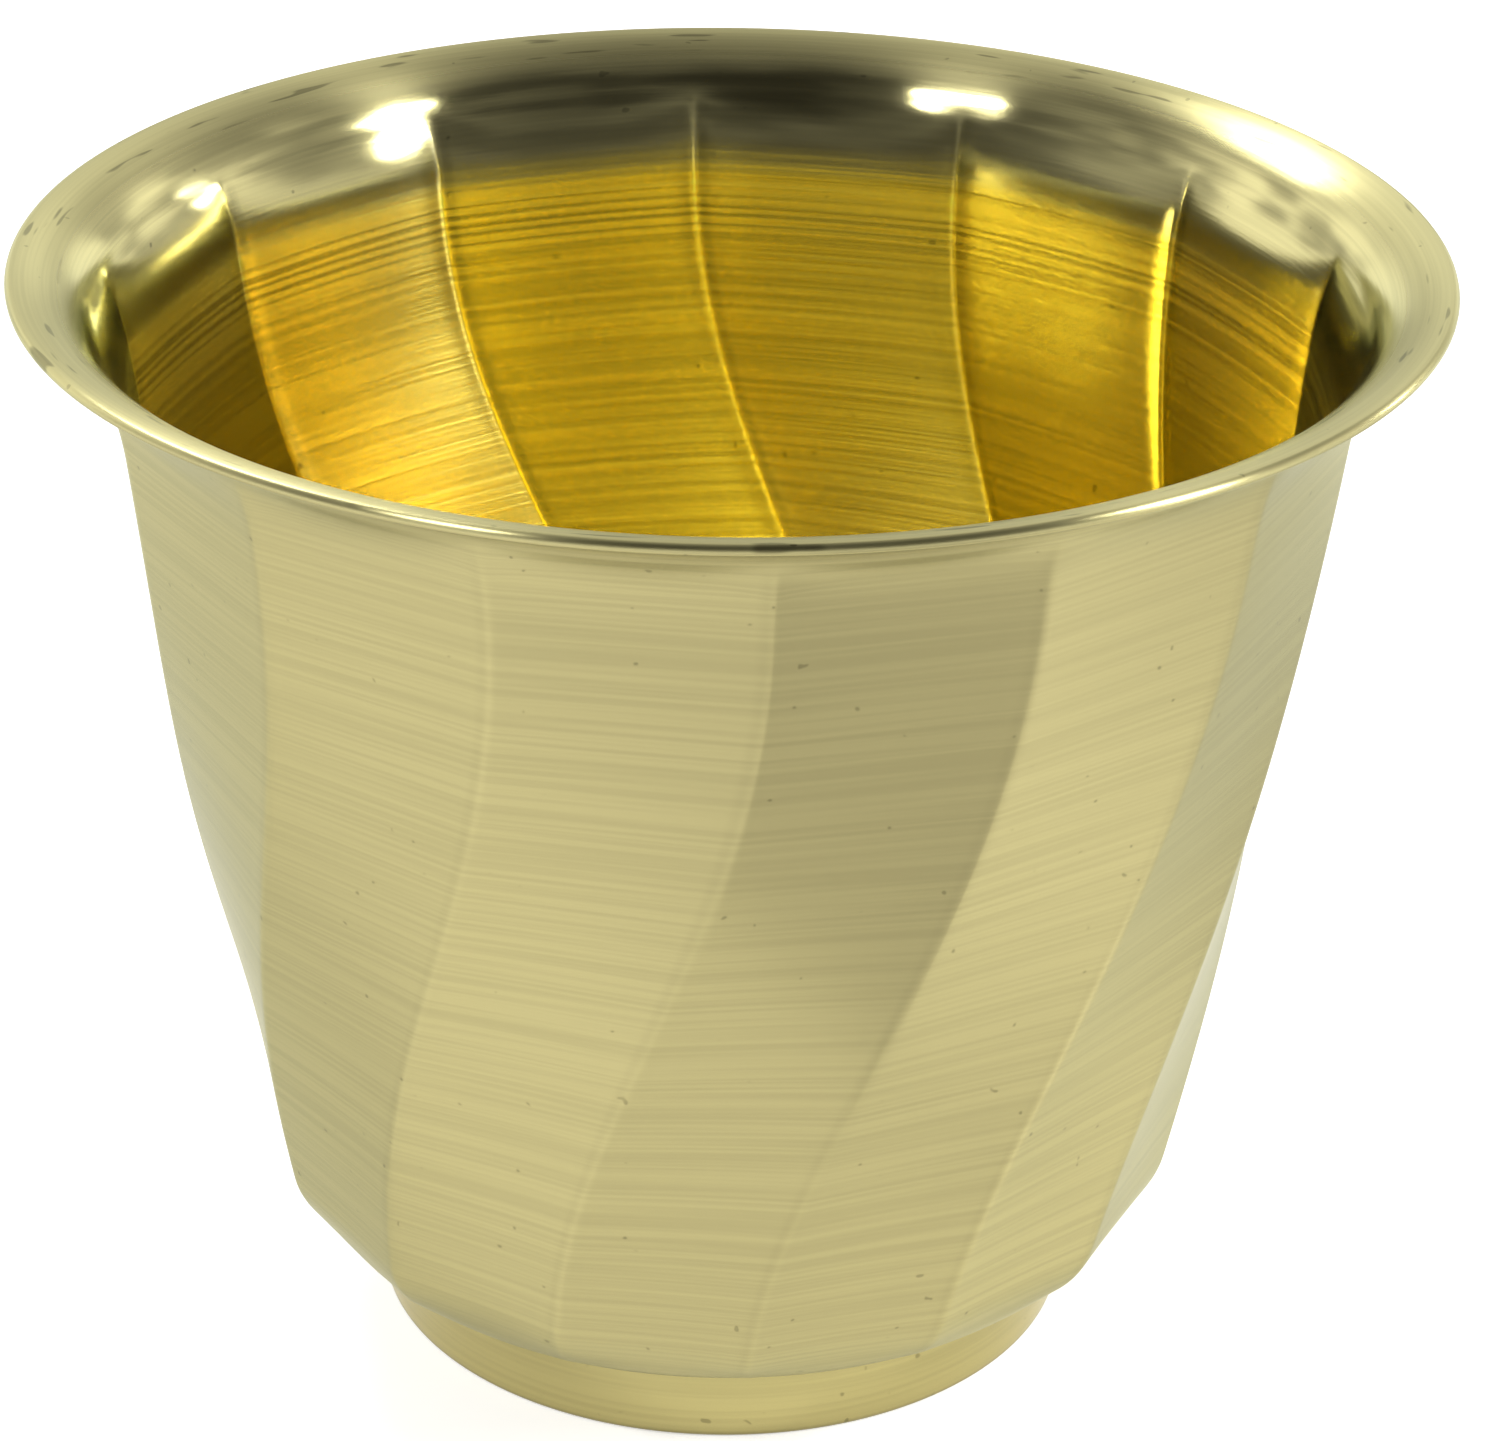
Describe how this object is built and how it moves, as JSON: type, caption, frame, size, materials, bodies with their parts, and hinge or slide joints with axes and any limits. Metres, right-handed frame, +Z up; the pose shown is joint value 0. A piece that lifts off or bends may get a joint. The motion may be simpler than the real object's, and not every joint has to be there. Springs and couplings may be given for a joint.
{
  "type": "brass pot",
  "caption": "Open flared brass pot with shallow spiral flutes, a rolled-out lip and a separate ring foot.",
  "frame": {"origin": "centre of the circle that the foot ring stands on", "axes": "+Z up along the axis the pot is spun about, towards the open mouth; +X and +Y level"},
  "size_m": [0.1, 0.1, 0.081],
  "materials": {
    "body_brass": "satin, brushed round the axis",
    "foot_brass": "satin, polished smoother than the body",
    "solder": "dull, as it flowed"
  },
  "bodies": {
    "root": {"pot_body": "body_brass", "foot_ring": "foot_brass", "foot_solder": "solder"}
  },
  "joints": []
}
